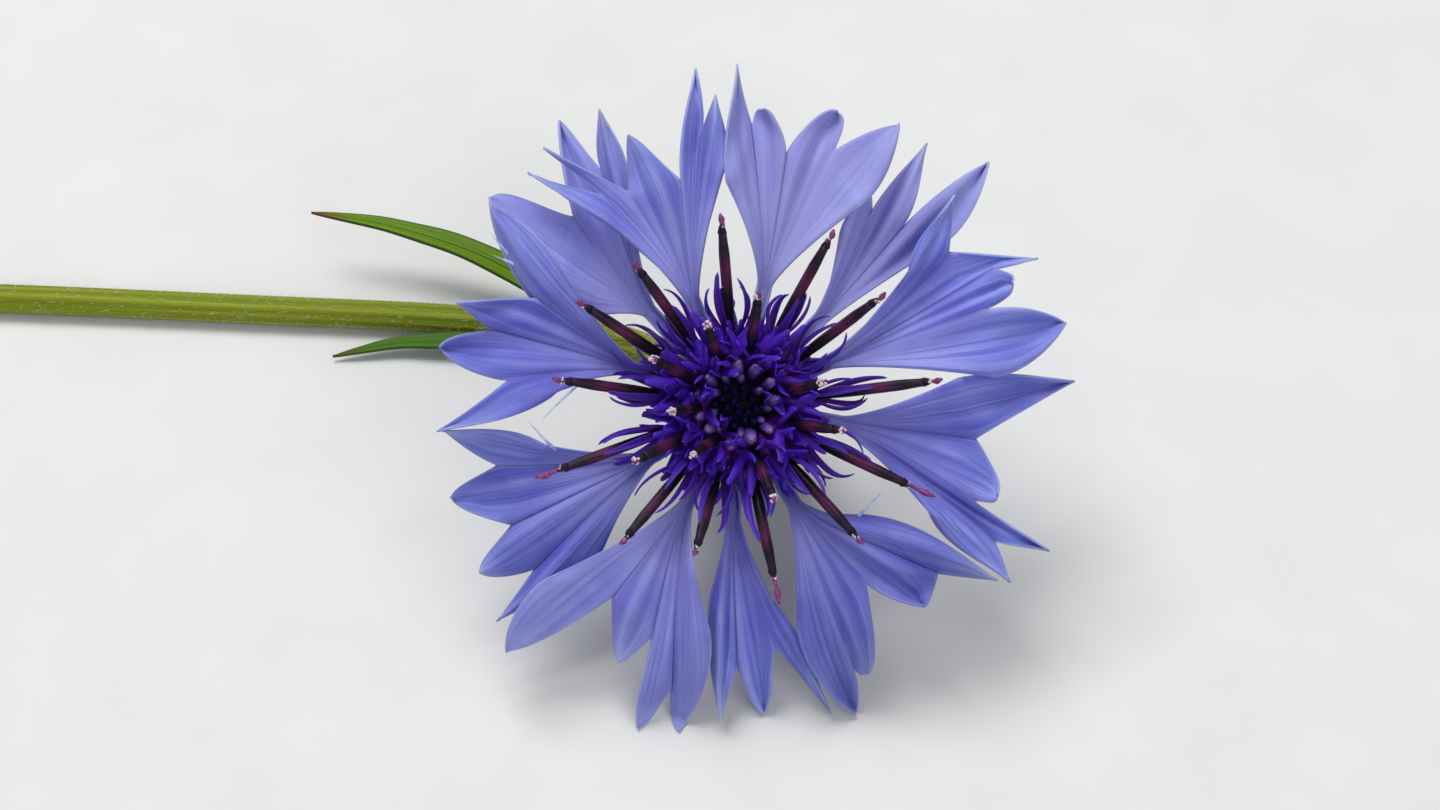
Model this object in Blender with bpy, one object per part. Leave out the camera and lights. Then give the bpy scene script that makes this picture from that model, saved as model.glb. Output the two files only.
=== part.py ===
"""A picked cornflower lying on a flat surface: the head leans over until its lower florets rest.

Metres, +Z up. The stem lies along -X, the head is at the +X end, and the origin is the middle of
the bottom of the whole flower. Lengths below are in millimetres and angles in degrees.
"""
from math import cos, pi, radians, sin

import bmesh
import bpy
from mathutils import Vector

MM = 0.001

# Driving dimensions
HEAD_LEAN = 38.0            # how far the face leans over from straight up, towards -Y
HEAD_HEIGHT = 15.2          # middle of the face above the surface
PETAL_SHEET = 0.30          # thickness of a ray floret's wall
LEAF_SHEET = 0.40
LEAF_FOLD = 0.25            # how far a leaf's edges stand above its midrib
LEAF_TIP = 0.1              # half width of a leaf's tip
ROOT_HEIGHT = -3.1          # where the florets leave the bract cup, along the head's axis
RAY_ROOT_REACH = 3.3        # how far from the axis the ray florets are rooted
CLAW_WIDTH = 1.0            # width of a ray floret's narrow foot
CLAW_RISE = 1.4             # how far a ray floret's foot bows up on its way out
CLAW_TROUGH = 0.5           # how far a ray floret's sides stand up at its throat
BLADE_TROUGH = 1.3          # and how much further where its blade is widest
LOBE_FULLNESS = 0.22        # how far a lobe's edges bulge, as a share of its width
LIMB_REACH = 20.0           # how far from the axis a ray floret's blade is laid out
LIMB_ARCH = 1.3             # how far a ray floret's blade rises halfway out
TIP_DROOP = 3.0             # how far the lowest florets bend down to the surface
OUTER_ROOT_REACH = 2.45     # where the outer disc florets are rooted, from the axis
INNER_ROOT_REACH = 1.5      # and the inner ones
DISC_RISE = 3.2             # how far a disc floret stands up before it leans out
DISC_LEAN = 0.6
DISC_ARCH = 0.5
TUBE_RADIUS = 0.28          # foot of a disc floret
THROAT_RADIUS = 0.42        # its mouth, where the corolla's lobes part
COLUMN_RADIUS = 0.26        # its column of joined anthers
BUDS_RADIUS = 0.9           # closed buds in the middle of the face
BUDS_LENGTH = 5.8
CUP_OUTLINE = (             # bract cup under the head: radius and height along the head's axis
    (0.0, -14.2), (1.3, -14.2), (3.0, -13.3), (4.1, -11.4), (4.4, -9.2), (4.1, -6.6),
    (3.8, -4.6), (3.8, -3.4), (0.0, -3.4),
)
CUP_SIDES = 24
STEM_RADIUS = 1.05

# Ray florets, clockwise from the top left. Each has its throat, the widest point of its near side,
# its rim as lobe tips with the notches between them, the widest point of its far side, and how far
# it lies above (or below) its neighbours. Places are (bearing, reach from the head's axis).
RAY_FLORETS = (
    ((113, 7.4), (126, 14.3), ((132, 20.0), (123, 16.0), (127, 20.5), (117, 15.3), (112, 18.5),
                               (104, 14.8), (97, 21.8), (98, 17.2), (94, 19.8)),
     (93, 15.0), 1.0),
    ((77, 8.0), (93, 14.2), ((90, 21.7), (87, 18.0), (85, 18.7), (79, 16.4), (71, 19.7),
                             (69, 17.5), (60, 20.9)), (58, 15.0), 0.4),
    ((46, 7.8), (57, 12.6), ((58, 16.4), (55, 15.0), (54, 20.9), (47, 15.5), (44, 22.8)),
     (38, 17.0), -1.1),
    ((25, 6.6), (38, 13.8), ((44, 19.3), (36, 16.7), (26, 21.5), (28, 18.6), (24, 18.9),
                             (21, 17.0), (14, 21.8)), (8, 17.5), 0.8),
    ((-10, 6.9), (5, 14.5), ((4, 21.8), (-8, 15.6), (-19, 17.7), (-22, 16.5), (-25, 22.3),
                             (-28, 18.9), (-33, 21.0)), (-29, 14.0), -0.8),
    ((-60, 7.4), (-40, 11.0), ((-34, 20.0), (-40, 16.8), (-47, 17.6), (-54, 14.2), (-64, 19.4),
                               (-66, 17.6), (-69, 21.8)), (-75, 15.0), 0.7),
    ((-92, 7.4), (-80, 12.8), ((-73, 21.2), (-81, 15.9), (-85, 20.4), (-90, 17.0), (-93, 20.6)),
     (-98, 12.4), -0.9),
    ((-117, 7.2), (-97, 14.4), ((-100, 21.8), (-103, 19.0), (-107, 22.2), (-110, 16.0),
                                (-115, 18.4), (-123, 14.7), (-133, 21.9)), (-138, 16.6), 0.9),
    ((-149, 6.6), (-132, 13.3), ((-138, 21.0), (-141, 16.9), (-147, 19.9), (-152, 16.5),
                                 (-162, 19.5), (-166, 16.0), (-175, 18.9)), (-168, 12.5), -0.7),
    ((161, 7.2), (176, 11.5), ((-175, 19.2), (174, 14.8), (169, 19.4), (163, 16.4), (160, 19.0),
                               (152, 14.5), (141, 20.3)), (144, 14.4), 0.8),
    ((130, 8.8), (147, 14.8), ((140, 20.9), (131, 16.1), (122, 21.8), (120, 17.6), (115, 21.0)),
     (117, 15.3), -1.2),
)
# Disc florets: the tip's bearing, reach and height above the middle of the face.
OUTER_DISC = (
    (95, 11.0, 3.4), (61, 11.5, 3.6), (37, 10.6, 4.2), (7, 11.9, 3.8), (-25, 11.6, 2.8),
    (-48, 10.8, 3.6), (-78, 10.8, 2.6), (-106, 9.0, 3.6), (-130, 10.6, 3.2), (-160, 11.6, 2.8),
    (172, 10.7, 3.4), (147, 11.1, 3.6), (126, 10.2, 4.0),
)
# The inner ones crowd to the left, so each is rooted at a bearing of its own, given last.
INNER_DISC = (
    (79, 6.5, 5.0, 72), (111, 5.0, 5.4, 112), (151, 5.6, 5.0, 150), (185, 3.9, 5.8, 184),
    (209, 6.8, 4.6, 216), (229, 3.9, 5.8, 250), (291, 5.8, 4.8, 290), (346, 6.3, 4.8, 330),
    (15, 5.1, 5.4, 16),
)
# The stem's middle line, from the cup's foot down to the surface and away to the cut end.
STEM_LINE = (
    (0.0, 8.95, 3.75), (-0.8, 11.1, 1.7), (-3.4, 14.4, 1.05), (-9.6, 17.6, 1.05),
    (-20.0, 19.1, 1.05), (-36.0, 20.1, 1.05), (-56.0, 21.2, 1.05), (-76.0, 21.8, 1.05),
    (-96.0, 21.5, 1.05),
)
# Leaves: middle line from the foot at the stem to the tip, and the widest half width.
LEAVES = {
    "leaf_upper": (((-12.6, 20.2, 1.8), (-19.0, 23.1, 3.7), (-25.5, 25.1, 4.6), (-31.6, 26.2, 5.0)),
                   1.15),
    "leaf_lower": (((-14.0, 16.2, 0.9), (-19.0, 16.9, 1.0), (-24.5, 17.0, 0.8), (-29.6, 16.1, 0.4)),
                   0.75),
}


def material(name, colour, roughness):
    made = bpy.data.materials.new(name)
    made.use_nodes = True
    shader = made.node_tree.nodes["Principled BSDF"]
    shader.inputs["Base Color"].default_value = (*colour, 1.0)
    shader.inputs["Roughness"].default_value = roughness
    return made


def add_object(name, data, surface, parent=None):
    made = bpy.data.objects.new(name, data)
    made.data.materials.append(surface)
    made.parent = parent
    bpy.context.collection.objects.link(made)
    return made


def polar(bearing, reach):
    return Vector((reach * cos(radians(bearing)), reach * sin(radians(bearing)), 0.0))


def bezier(points, at):
    """The point a fraction along the Bezier curve that the given points control."""
    points = [Vector(point) for point in points]
    while len(points) > 1:
        points = [one.lerp(two, at) for one, two in zip(points, points[1:])]
    return points[0]


def through(points, at):
    """The point a fraction along a smooth curve through all the given points."""
    last = len(points) - 1
    step = min(int(at * last), last - 1)
    within = at * last - step
    before, start, end, after = (Vector(points[min(max(step + n, 0), last)]) for n in (-1, 0, 1, 2))
    return (start * 2 + (end - before) * within
            + (before * 2 - start * 5 + end * 4 - after) * within ** 2
            + (start * 3 - before - end * 3 + after) * within ** 3) * 0.5


def height_above_surface(point):
    return HEAD_HEIGHT + point.y * sin(radians(HEAD_LEAN)) + point.z * cos(radians(HEAD_LEAN))


def pressed_flat(point, wall):
    """Keeps a soft sheet on the surface where it would sink into it."""
    sunk = wall / 2 - height_above_surface(point)
    if sunk > 0:
        point.z += sunk / cos(radians(HEAD_LEAN))
    return point


def blade_height(point, throat_reach, lift):
    """A ray floret's blade climbs from its throat, arches over and droops towards the surface."""
    out = (point.xy.length - throat_reach) / (LIMB_REACH - throat_reach)
    low = max(0.0, -point.y / LIMB_REACH) ** 3
    apart = lift * min(1.0, 0.4 + out) * max(0.0, 1 - low)
    return apart + LIMB_ARCH * sin(pi * min(out, 1.2) * 0.8) - 0.4 - TIP_DROOP * low


def lobe_edge(throat_edge, notch, tip, along, outward):
    """A lobe's edge: straight from the throat to the notch, then a full curve to the tip."""
    if along <= 0.5:
        return throat_edge.lerp(notch, along * 2)
    out = along * 2 - 1
    return notch.lerp(tip, out) + outward * LOBE_FULLNESS * sin(pi * out ** 0.7)


def ray_floret(name, outline, surface, parent):
    """One ray floret: a narrow foot that opens to a fan of pointed lobes, bent up at its sides."""
    throat, near_side, rim, far_side, lift = outline
    tips = [polar(*place) for place in rim[0::2]]
    notches = [polar(*place) for place in (near_side, *rim[1::2], far_side)]
    middle = polar(*throat)
    root = polar(throat[0], RAY_ROOT_REACH) + Vector((0, 0, ROOT_HEIGHT))
    across = polar(throat[0] + 90, CLAW_WIDTH / 2)
    if across.dot(notches[0] - notches[-1]) < 0:
        across.negate()
    bm = bmesh.new()
    for number, tip in enumerate(tips):
        share = [number / len(tips), (number + 1) / len(tips)]
        feet = [middle + across * (1 - 2 * part) for part in share]
        sides = notches[number], notches[number + 1]
        apart = sides[0] - sides[1]
        grid = bmesh.ops.create_grid(bm, x_segments=2, y_segments=8, size=0.5)
        for vert in grid["verts"]:
            part, along = vert.co.x + 0.5, vert.co.y + 0.5
            edges = [lobe_edge(feet[n], sides[n], tip, along, apart * (1 - 2 * n)) for n in (0, 1)]
            point = edges[0].lerp(edges[1], part)
            from_middle = 2 * (share[0] + (share[1] - share[0]) * part) - 1
            width = min(along * 2, 1.0)
            trough = CLAW_TROUGH + BLADE_TROUGH * width * (1 - max(along * 2 - 1, 0))
            point.z = blade_height(point, throat[1], lift) + trough * from_middle ** 2
            vert.co = pressed_flat(point, PETAL_SHEET)
    bmesh.ops.remove_doubles(bm, verts=bm.verts, dist=0.01)
    foot = [edge for edge in bm.edges if edge.is_boundary
            and all((vert.co.xy - middle.xy).length < CLAW_WIDTH * 0.6 for vert in edge.verts)]
    for out in (0.66, 0.33, 0.0):
        grown = bmesh.ops.extrude_edge_only(bm, edges=foot)["geom"]
        foot = [item for item in grown if isinstance(item, bmesh.types.BMEdge)]
        level = bezier((root, root.lerp(middle, 0.35) + Vector((0, 0, CLAW_RISE)), middle), out)
        for vert in {vert for edge in foot for vert in edge.verts}:
            aside = (vert.co - middle).dot(across.normalized()) * 0.92
            vert.co = level + across.normalized() * aside
    bmesh.ops.recalc_face_normals(bm, faces=bm.faces)
    bmesh.ops.scale(bm, vec=(MM, MM, MM), verts=bm.verts)
    mesh = bpy.data.meshes.new(name)
    bm.to_mesh(mesh)
    bm.free()
    mesh.shade_smooth()
    made = add_object(name, mesh, surface, parent)
    wall = made.modifiers.new("wall", "SOLIDIFY")
    wall.thickness = PETAL_SHEET * MM
    wall.offset = 0
    return made


def rod(name, line, radii, surface, sides=2, parent=None):
    """A closed round rod along a line of points, with a radius at each point."""
    curve = bpy.data.curves.new(name, "CURVE")
    curve.dimensions = "3D"
    curve.bevel_depth = MM
    curve.bevel_resolution = sides
    curve.use_fill_caps = True
    spline = curve.splines.new("POLY")
    spline.points.add(len(line) - 1)
    for point, place, radius in zip(spline.points, line, radii):
        point.co = (*(Vector(place) * MM), 1.0)
        point.radius = radius
    return add_object(name, curve, surface, parent)


def disc_floret(name, bearing, reach, height, root_bearing, root_reach, surface, parent):
    """One disc floret: a thin tube that swells to its mouth, with the anther column out of it."""
    root = polar(root_bearing, root_reach) + Vector((0, 0, ROOT_HEIGHT))
    rise = root + Vector((0, 0, DISC_RISE)) + polar(bearing, DISC_LEAN)
    tip = polar(bearing, reach) + Vector((0, 0, height))
    mouth = rise.lerp(tip, 0.4) + Vector((0, 0, DISC_ARCH))
    steps = 10
    line = [bezier((root, rise, mouth, tip), step / steps) for step in range(steps + 1)]
    tube = [TUBE_RADIUS + (THROAT_RADIUS - TUBE_RADIUS) * share
            for share in (0, 0, 0, 0.4, 0.7, 1, 1)]
    column = [COLUMN_RADIUS * share for share in (1, 1, 1, 0.7)]
    return rod(name, line, tube + column, surface, parent=parent)


def buds(name, surface, parent):
    """The dome of closed buds in the middle of the face."""
    bm = bmesh.new()
    bmesh.ops.create_uvsphere(bm, u_segments=16, v_segments=10, radius=MM)
    bmesh.ops.scale(bm, vec=(BUDS_RADIUS, BUDS_RADIUS, BUDS_LENGTH / 2), verts=bm.verts)
    mesh = bpy.data.meshes.new(name)
    bm.to_mesh(mesh)
    bm.free()
    mesh.shade_smooth()
    return add_object(name, mesh, surface, parent)


def turned(name, outline, surface, parent):
    """A round body turned from its outline, which starts and ends on the axis."""
    bm = bmesh.new()
    profile = [bm.verts.new(Vector((radius, 0, height)) * MM) for radius, height in outline]
    edges = [bm.edges.new(pair) for pair in zip(profile, profile[1:])]
    bmesh.ops.spin(bm, geom=profile + edges, cent=(0, 0, 0), axis=(0, 0, 1), angle=2 * pi,
                   steps=CUP_SIDES, use_merge=True)
    bmesh.ops.remove_doubles(bm, verts=bm.verts, dist=0.01 * MM)
    bmesh.ops.recalc_face_normals(bm, faces=bm.faces)
    mesh = bpy.data.meshes.new(name)
    bm.to_mesh(mesh)
    bm.free()
    mesh.shade_smooth()
    mesh.set_sharp_from_angle(angle=radians(50))
    return add_object(name, mesh, surface, parent)


def leaf(name, line, half_width, surface):
    """A narrow leaf, folded a little along its midrib."""
    bm = bmesh.new()
    grid = bmesh.ops.create_grid(bm, x_segments=4, y_segments=12, size=0.5)
    for vert in grid["verts"]:
        aside, along = vert.co.x * 2, vert.co.y + 0.5
        ahead = through(line, min(along + 0.02, 1)) - through(line, max(along - 0.02, 0))
        across = ahead.cross(Vector((0, 0, 1))).normalized()
        width = half_width * (0.35 + 0.65 * sin(pi * min(along * 1.2, 0.5))) * (1 - along ** 3)
        width = max(width, LEAF_TIP)
        lift = Vector((0, 0, LEAF_FOLD * abs(aside)))
        point = through(line, along) + across * aside * width + lift
        point.z = max(point.z, LEAF_SHEET / 2)
        vert.co = point * MM
    bmesh.ops.recalc_face_normals(bm, faces=bm.faces)
    mesh = bpy.data.meshes.new(name)
    bm.to_mesh(mesh)
    bm.free()
    mesh.shade_smooth()
    made = add_object(name, mesh, surface)
    wall = made.modifiers.new("wall", "SOLIDIFY")
    wall.thickness = LEAF_SHEET * MM
    wall.offset = 0
    return made


def surface_points(made):
    """The points of an object's surface in the world, with its modifiers."""
    shown = made.evaluated_get(bpy.context.evaluated_depsgraph_get())
    return [shown.matrix_world @ vert.co for vert in shown.to_mesh().vertices]


def main():
    for old in list(bpy.data.objects):
        bpy.data.objects.remove(old)
    flower = bpy.data.objects.new("flower", None)
    head = bpy.data.objects.new("head", None)
    for empty in (flower, head):
        bpy.context.collection.objects.link(empty)
    head.location.z = HEAD_HEIGHT * MM
    head.rotation_euler.x = radians(HEAD_LEAN)

    petal = material("ray_petal", (0.16, 0.19, 0.62), 0.7)
    disc = material("disc_petal", (0.03, 0.01, 0.16), 0.6)
    heart = material("closed_buds", (0.01, 0.01, 0.05), 0.7)
    green = material("stem_skin", (0.24, 0.34, 0.06), 0.8)
    blade = material("leaf_blade", (0.10, 0.28, 0.03), 0.7)

    for number, outline in enumerate(RAY_FLORETS, 1):
        ray_floret(f"ray_floret_{number:02d}", outline, petal, head)
    for number, (bearing, reach, height) in enumerate(OUTER_DISC, 1):
        disc_floret(f"disc_outer_{number:02d}", bearing, reach, height, bearing,
                    OUTER_ROOT_REACH, disc, head)
    for number, (bearing, reach, height, root) in enumerate(INNER_DISC, 1):
        disc_floret(f"disc_inner_{number:02d}", bearing, reach, height, root,
                    INNER_ROOT_REACH, disc, head)
    buds("disc_buds", heart, head)
    turned("bract_cup", CUP_OUTLINE, green, head)
    steps = 40
    line = [through(STEM_LINE, step / steps) for step in range(steps + 1)]
    rod("stem", line, [STEM_RADIUS] * len(line), green, sides=3)
    for name, (line, half_width) in LEAVES.items():
        leaf(name, line, half_width, blade)

    bpy.context.view_layer.update()
    solids = [made for made in bpy.data.objects if made.type != "EMPTY"]
    points = [point for made in solids for point in surface_points(made)]
    middle = [(min(p[axis] for p in points) + max(p[axis] for p in points)) / 2
              for axis in (0, 1)]
    lowest = min(point.z for point in points)
    for made in bpy.data.objects:
        if made.parent is None and made is not flower:
            made.parent = flower
    flower.location = (-middle[0], -middle[1], -lowest)


main()
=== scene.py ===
"""Looks of a picked cornflower that lies on a flat surface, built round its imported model."""
from math import cos, pi, radians, sin, sqrt
from random import Random

import bmesh
import bpy
from bpy.props import FloatProperty, FloatVectorProperty, IntProperty, PointerProperty
from mathutils import Matrix, Vector


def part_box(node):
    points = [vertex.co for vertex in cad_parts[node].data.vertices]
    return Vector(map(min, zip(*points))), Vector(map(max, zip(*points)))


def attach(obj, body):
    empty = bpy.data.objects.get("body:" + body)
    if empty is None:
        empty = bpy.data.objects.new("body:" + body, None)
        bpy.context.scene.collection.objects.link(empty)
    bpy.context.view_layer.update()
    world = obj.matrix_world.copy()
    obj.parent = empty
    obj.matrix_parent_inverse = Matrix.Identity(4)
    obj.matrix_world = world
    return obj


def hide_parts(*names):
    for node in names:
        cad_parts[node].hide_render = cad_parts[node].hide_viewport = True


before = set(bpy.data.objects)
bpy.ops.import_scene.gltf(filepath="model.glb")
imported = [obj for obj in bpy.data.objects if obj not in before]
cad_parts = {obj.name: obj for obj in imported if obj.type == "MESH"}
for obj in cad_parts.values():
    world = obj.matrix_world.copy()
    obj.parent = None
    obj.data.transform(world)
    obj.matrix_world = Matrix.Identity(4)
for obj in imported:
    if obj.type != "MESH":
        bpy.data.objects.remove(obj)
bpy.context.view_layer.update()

bl_info = {
    "name": "Cornflower",
    "version": (1, 0, 0),
    "blender": (4, 5, 0),
    "location": "3D View > Sidebar > Cornflower",
    "description": "Builds the florets, bracts, stem and leaves of a picked cornflower",
    "category": "Add Mesh",
}

# Lengths are in millimetres and angles in degrees. The head has a frame of its own: its origin is
# the middle of the face, +Z is the way the face looks, and +Y is up the face.
MM = 0.001
HEAD_LEAN = 38.0
HEAD_HEIGHT = 15.2
HEAD_MIDDLE = (Vector(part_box("disc_buds")[0]) + Vector(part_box("disc_buds")[1])) / 2
HEAD = Matrix.Translation(HEAD_MIDDLE) @ Matrix.Rotation(radians(HEAD_LEAN), 4, "X")
HEAD = HEAD @ Matrix.Scale(MM, 4)
# The stem and the leaves are laid out from the point on the surface under the face's middle.
GROUND = Matrix.Translation(HEAD_MIDDLE - Vector((0, 0, HEAD_HEIGHT * MM))) @ Matrix.Scale(MM, 4)

ROOT_HEIGHT = -3.1
RAY_ROOT_REACH = 3.3
OUTER_ROOT_REACH = 2.45
INNER_ROOT_REACH = 1.5
RAY_REACH = 20.0
THROAT_DROP = 0.4
LIMB_ARCH = 1.3
TIP_DROOP = 3.0
FINE_WALL = 0.06
BRACT_WALL = 0.12
TURNED_SIDES = 48
DISC_STEPS = 40
STEM_STEPS = 260
STEM_RIBS = 8
RIB_DEPTH = 0.045
LEAF_STEPS = 60
LEAF_CLEARANCE = 0.1
HAIR_RADIUS = 0.014
HAIR_CLEARANCE = 0.03
BUD_TURN = 137.5
# A disc floret has this many lobes and as many anthers.
FIVEFOLD = 5
# A disc floret's tube has its UV this far to the right of its lobes' UV.
TUBE_UV = 2.0

# Ray florets, clockwise from the top left. Each has its throat, the widest point of its near side,
# its rim as lobe tips with the notches between them, the widest point of its far side, how far it
# lies above (or below) its neighbours, and how much darker (or paler) it is than the others. That
# last is partly a floret's own tone, and partly painted shade where it lies in shadow and painted
# light where it lets light through.
# Places are (bearing, reach from the head's axis). A tip's third number says how blunt the lobe
# is, or when it is negative how slim.
RAY_FLORETS = (
    ((113, 7.4), (126, 14.3), ((132, 20.0, -0.6), (123, 16.0), (127, 20.5, -0.7), (117, 15.3),
                               (112, 18.5, 0.3), (104, 14.8), (97, 21.8, 0.1), (98, 17.2),
                               (94, 19.8, -0.1)), (93, 15.0), 1.0, -0.15),
    ((77, 8.0), (93, 14.2), ((90, 21.7, -0.3), (87, 18.0), (85, 18.9, 0.8), (79, 16.4),
                             (71, 19.9, 0.9), (69, 17.5), (60, 20.9, 0.3)), (58, 15.0), 0.4, -0.55),
    ((46, 7.8), (59, 12.8), ((58, 16.4, 0.0), (55, 15.0), (54, 20.9, 0.0), (47, 15.5),
                             (44, 22.8, 0.3)), (38, 17.0), -1.1, -0.55),
    ((25, 6.6), (38, 13.8), ((44, 19.3, 0.0), (36, 16.7), (26, 21.5, -0.2), (28, 18.6),
                             (24, 19.2, 0.9), (21, 17.0), (14, 21.8, 0.3)), (6, 16.6), 0.8, 0.0),
    ((-10, 6.9), (7, 14.2), ((4, 21.8, -0.3), (-8, 15.6), (-19, 17.7, 0.7), (-22, 16.5),
                             (-25, 22.3, 0.0), (-28, 18.9), (-33, 21.0, 0.0)), (-29, 14.0),
     -0.8, 0.08),
    ((-60, 7.4), (-40, 11.0), ((-34, 20.0, -0.1), (-40, 16.8), (-47, 17.6, 0.2), (-54, 14.2),
                               (-64, 19.4, 0.6), (-66, 17.6), (-69, 21.8, 0.5)), (-75, 15.0),
     0.7, 0.35),
    ((-92, 7.4), (-80, 12.8), ((-73, 21.2, -0.2), (-81, 15.9), (-85, 20.4, 0.6), (-90, 17.0),
                               (-93, 20.6, -0.3)), (-98, 12.4), -0.9, 0.0),
    ((-117, 7.2), (-97, 14.4), ((-100, 21.8, 0.4), (-103, 19.0), (-107, 22.2, 0.5), (-110, 16.0),
                                (-115, 18.4, 0.4), (-123, 14.7), (-133, 21.9, 0.4)),
     (-138, 16.6), 0.9, -0.2),
    ((-149, 6.6), (-132, 13.3), ((-138, 21.0, -0.3), (-141, 16.9), (-147, 19.9, 0.5),
                                 (-152, 16.5), (-162, 19.5, 0.5), (-166, 16.0),
                                 (-175, 18.9, 0.1)), (-168, 12.5), -0.7, 0.2),
    ((161, 7.2), (176, 11.5), ((-175, 19.2, -0.1), (174, 14.8), (169, 19.4, 0.5), (163, 16.4),
                               (160, 19.0, 0.0), (152, 14.5), (141, 20.3, 0.35)), (143, 13.8),
     0.8, 0.15),
    ((133, 8.3), (156, 12.6), ((140, 20.9, 0.5), (131, 16.1), (122, 21.8, 0.2), (120, 17.6),
                               (115, 21.0, 0.0)), (117, 15.3), -1.2, -0.35),
)
# Disc florets: the tip's bearing, reach and height, the bearing of the root, and how far the
# style stands out past the anthers.
OUTER_DISC = (
    (95, 11.0, 3.4, 95, 0.6), (61, 11.5, 3.6, 61, 0.6), (37, 10.6, 4.2, 37, 0.6),
    (7, 11.9, 3.8, 7, 0.6), (-25, 11.6, 2.8, -25, 1.7), (-48, 10.8, 3.6, -48, 0.5),
    (-78, 10.8, 2.6, -78, 1.6), (-106, 9.0, 3.6, -106, 0.4), (-130, 10.6, 3.2, -130, 0.4),
    (-160, 11.6, 2.8, -160, 1.5), (172, 10.7, 3.4, 172, 0.6), (147, 11.1, 3.6, 147, 0.6),
    (126, 10.2, 4.0, 126, 0.4),
)
INNER_DISC = (
    (79, 6.5, 5.0, 72, 0.3), (111, 5.0, 5.4, 112, 0.2), (151, 5.6, 5.0, 150, 0.2),
    (185, 3.9, 5.8, 184, 0.2), (209, 6.8, 4.6, 216, 0.3), (229, 3.9, 5.8, 250, 0.2),
    (291, 5.8, 4.8, 290, 0.3), (346, 6.3, 4.8, 330, 0.3), (15, 5.1, 5.4, 16, 0.2),
)
# Torn threads that stand off the ray florets' rims. Each has its floret, lobe, share across the
# lobe and share along the floret, and then the bearing that it points to and its length.
RIM_THREADS = (
    (10, 0, 0.0, 0.52, 225, 3.2), (9, 3, 1.0, 0.60, 133, 2.2), (6, 0, 0.0, 0.58, 46, 2.1),
    (10, 3, 0.0, 0.80, 130, 1.6), (10, 3, 0.0, 0.76, 158, 1.3),
)
CUP_OUTLINE = ((1.3, -14.2), (3.0, -13.3), (4.1, -11.4), (4.4, -9.2), (4.1, -6.6), (3.8, -4.6),
               (3.7, -3.4))
STEM_LINE = (
    (0.0, 8.95, 3.75), (-0.8, 11.1, 1.7), (-3.4, 14.4, 1.05), (-9.6, 17.6, 1.05),
    (-20.0, 19.1, 1.05), (-36.0, 20.1, 1.05), (-56.0, 21.2, 1.05), (-76.0, 21.8, 1.05),
    (-96.0, 21.5, 1.05),
)
LEAVES = {
    "leaf_upper": (((-9.2, 17.5, 1.2), (-12.6, 20.0, 1.9), (-19.0, 23.1, 3.7),
                    (-25.5, 25.1, 4.6), (-31.6, 26.2, 5.0)),
                   1.15, 0.0),
    "leaf_lower": (((-10.4, 17.6, 1.1), (-14.0, 16.6, 1.0), (-19.0, 16.9, 1.0),
                    (-24.5, 17.0, 0.8), (-29.6, 16.1, 0.4)),
                   0.95, 1.0),
}


def linear(hex_colour):
    """An sRGB hex colour as linear red, green and blue."""
    parts = [int(hex_colour[n:n + 2], 16) / 255 for n in (1, 3, 5)]
    return [part / 12.92 if part <= 0.04045 else ((part + 0.055) / 1.055) ** 2.4 for part in parts]


def rgba(colour):
    """A hex colour, a grey value or a linear colour, as linear red, green, blue and alpha."""
    if isinstance(colour, str):
        return (*linear(colour), 1.0)
    if isinstance(colour, float):
        return (colour, colour, colour, 1.0)
    return (*colour, 1.0)


# ---------------------------------------------------------------- places and curves

def polar(bearing, reach, height=0.0):
    """The point at a bearing and a reach from the head's axis."""
    return Vector((reach * cos(radians(bearing)), reach * sin(radians(bearing)), height))


def bezier(points, at):
    """The point a fraction along the Bezier curve that the given points control."""
    points = [Vector(point) for point in points]
    while len(points) > 1:
        points = [one.lerp(two, at) for one, two in zip(points, points[1:])]
    return points[0]


def through(points, at):
    """The point a fraction along a smooth curve through all the given points."""
    last = len(points) - 1
    step = min(int(at * last), last - 1)
    within = at * last - step
    before, start, end, after = (Vector(points[min(max(step + n, 0), last)]) for n in (-1, 0, 1, 2))
    return (start * 2 + (end - before) * within
            + (before * 2 - start * 5 + end * 4 - after) * within ** 2
            + (start * 3 - before - end * 3 + after) * within ** 3) * 0.5


def smooth(low, high, at):
    """Rises smoothly from 0 at low to 1 at high."""
    part = min(max((at - low) / (high - low), 0.0), 1.0)
    return part * part * (3 - 2 * part)


def stations(line):
    """For each point of a line: the point, the way ahead, and two directions square to it."""
    found = []
    side = None
    for number, point in enumerate(line):
        ahead = (line[min(number + 1, len(line) - 1)] - line[max(number - 1, 0)]).normalized()
        if side is None:
            side = ahead.orthogonal().normalized()
        side = (side - ahead * side.dot(ahead)).normalized()
        found.append((point, ahead, side, ahead.cross(side)))
    return found


# ---------------------------------------------------------------- mesh building

def shaped_grid(bm, across_steps, along_steps, place, surface=0, uv_shift=0.0):
    """A grid whose points go where place(across, along) says. Both run from 0 to 1, as its UV."""
    uv = bm.loops.layers.uv.verify()
    made = bmesh.ops.create_grid(bm, x_segments=across_steps, y_segments=along_steps, size=0.5)
    for face in {face for vert in made["verts"] for face in vert.link_faces}:
        face.material_index = surface
        for loop in face.loops:
            loop[uv].uv = (loop.vert.co.x + 0.5 + uv_shift, loop.vert.co.y + 0.5)
    for vert in made["verts"]:
        vert.co = place(vert.co.x + 0.5, vert.co.y + 0.5)


def rod(bm, line, radius_at, sides, surface=0, flutes=0, flute_depth=0.0, uv_shift=0.0):
    """A round rod along a line: a grid rolled up, its radius given by radius_at(along)."""
    rings = stations(line)

    def place(across, along):
        point, _, side, up = rings[round(along * (len(rings) - 1))]
        turn = across * 2 * pi
        reach = radius_at(along) * (1 + flute_depth * cos(flutes * turn))
        return point + (side * cos(turn) + up * sin(turn)) * reach

    shaped_grid(bm, sides, len(line) - 1, place, surface, uv_shift)


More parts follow.
